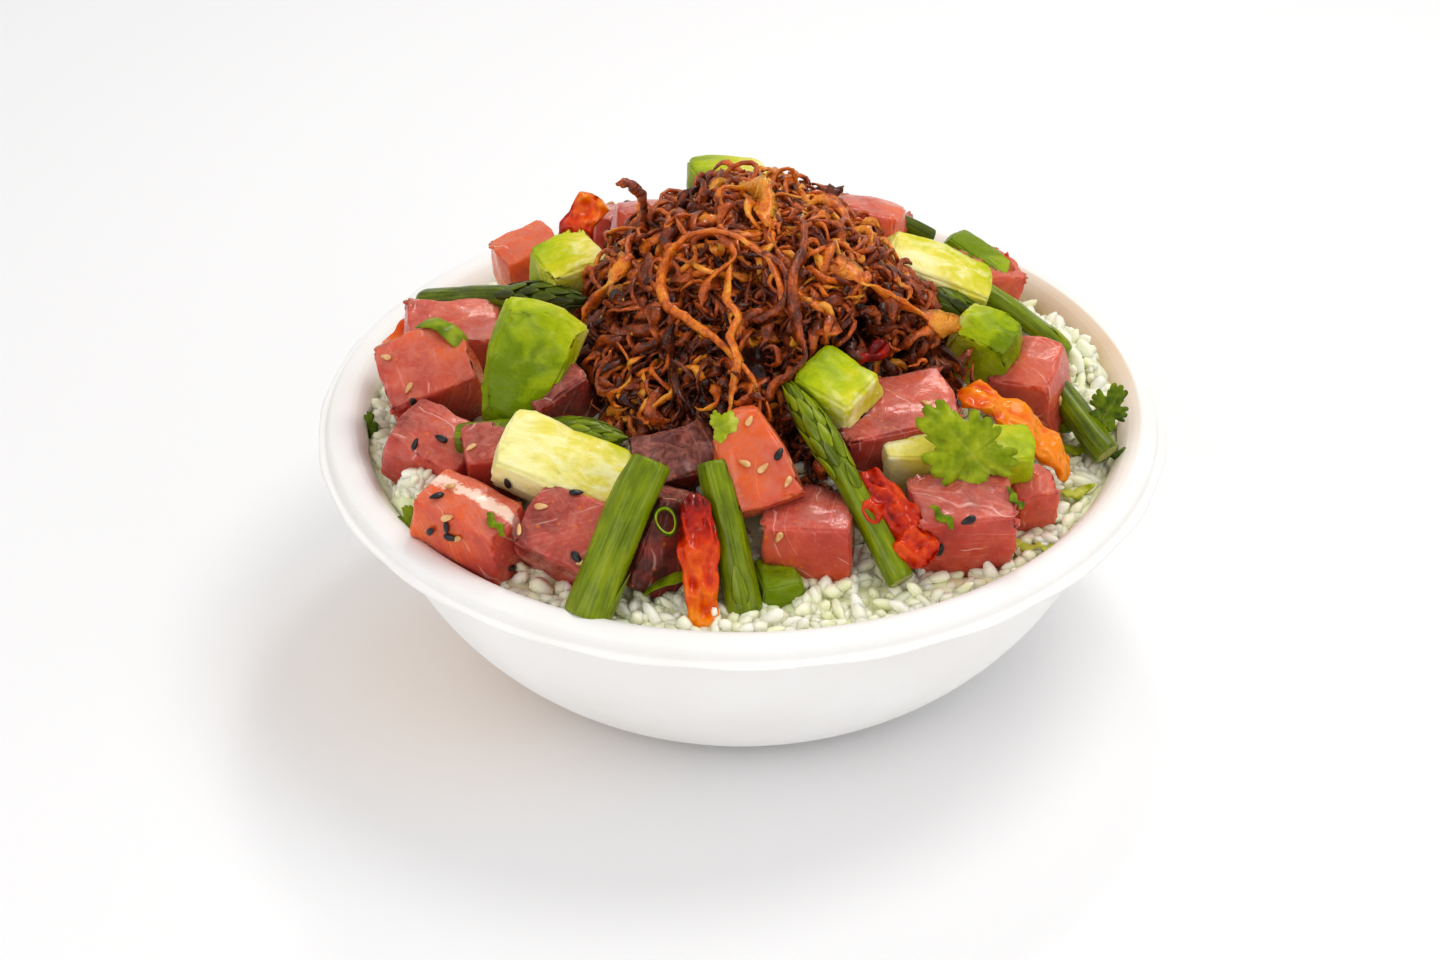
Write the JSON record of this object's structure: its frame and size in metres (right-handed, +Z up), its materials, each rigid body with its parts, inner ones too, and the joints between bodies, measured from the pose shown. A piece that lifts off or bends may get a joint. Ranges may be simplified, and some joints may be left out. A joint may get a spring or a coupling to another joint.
{
  "type": "poke bowl",
  "caption": "Takeaway poke bowl: a round moulded-fibre bowl of rice with cubes of raw tuna, avocado, asparagus, roasted pepper, herbs and a heap of fried onions.",
  "frame": {"origin": "centre of the flat underside of the bowl's foot, on the surface it stands on", "axes": "+Z up through the bowl's centre, -Y towards the side that is seen from the front, +X to the right of it"},
  "size_m": [0.2004, 0.2004, 0.1179],
  "materials": {
    "bowl": "matt moulded fibre, warm white",
    "rice": "moist, slightly translucent",
    "fried_onion": "crisp, oily sheen",
    "tuna": "wet",
    "avocado": "moist satin",
    "asparagus": "oiled satin",
    "pepper": "oiled gloss",
    "herb": "leaf satin",
    "scallion": "moist satin"
  },
  "bodies": {
    "root": {"bowl": "bowl", "rice": "rice", "fried_onion": "fried_onion", "asparagus_01": "asparagus", "asparagus_02": "asparagus", "asparagus_03": "asparagus", "asparagus_04": "asparagus", "asparagus_05": "asparagus", "asparagus_06": "asparagus", "asparagus_07": "asparagus", "asparagus_08": "asparagus", "asparagus_09": "asparagus", "asparagus_10": "asparagus", "avocado_01": "avocado", "avocado_02": "avocado", "avocado_03": "avocado", "avocado_04": "avocado", "avocado_05": "avocado", "avocado_06": "avocado", "avocado_07": "avocado", "avocado_08": "avocado", "avocado_09": "avocado", "avocado_10": "avocado", "herb_leaf_01": "herb", "herb_leaf_02": "herb", "herb_leaf_03": "herb", "herb_leaf_04": "herb", "herb_leaf_05": "herb", "herb_stem_01": "herb", "herb_stem_02": "herb", "pepper_01": "pepper", "pepper_02": "pepper", "pepper_03": "pepper", "pepper_04": "pepper", "pepper_05": "pepper", "pepper_06": "pepper", "pepper_07": "pepper", "scallion_ring": "scallion", "tuna_01": "tuna", "tuna_02": "tuna", "tuna_03": "tuna", "tuna_04": "tuna", "tuna_05": "tuna", "tuna_06": "tuna", "tuna_07": "tuna", "tuna_08": "tuna", "tuna_09": "tuna", "tuna_10": "tuna", "tuna_11": "tuna", "tuna_12": "tuna", "tuna_13": "tuna", "tuna_14": "tuna", "tuna_15": "tuna", "tuna_16": "tuna", "tuna_17": "tuna", "tuna_18": "tuna", "tuna_19": "tuna", "tuna_20": "tuna", "tuna_21": "tuna", "tuna_22": "tuna"}
  },
  "joints": []
}
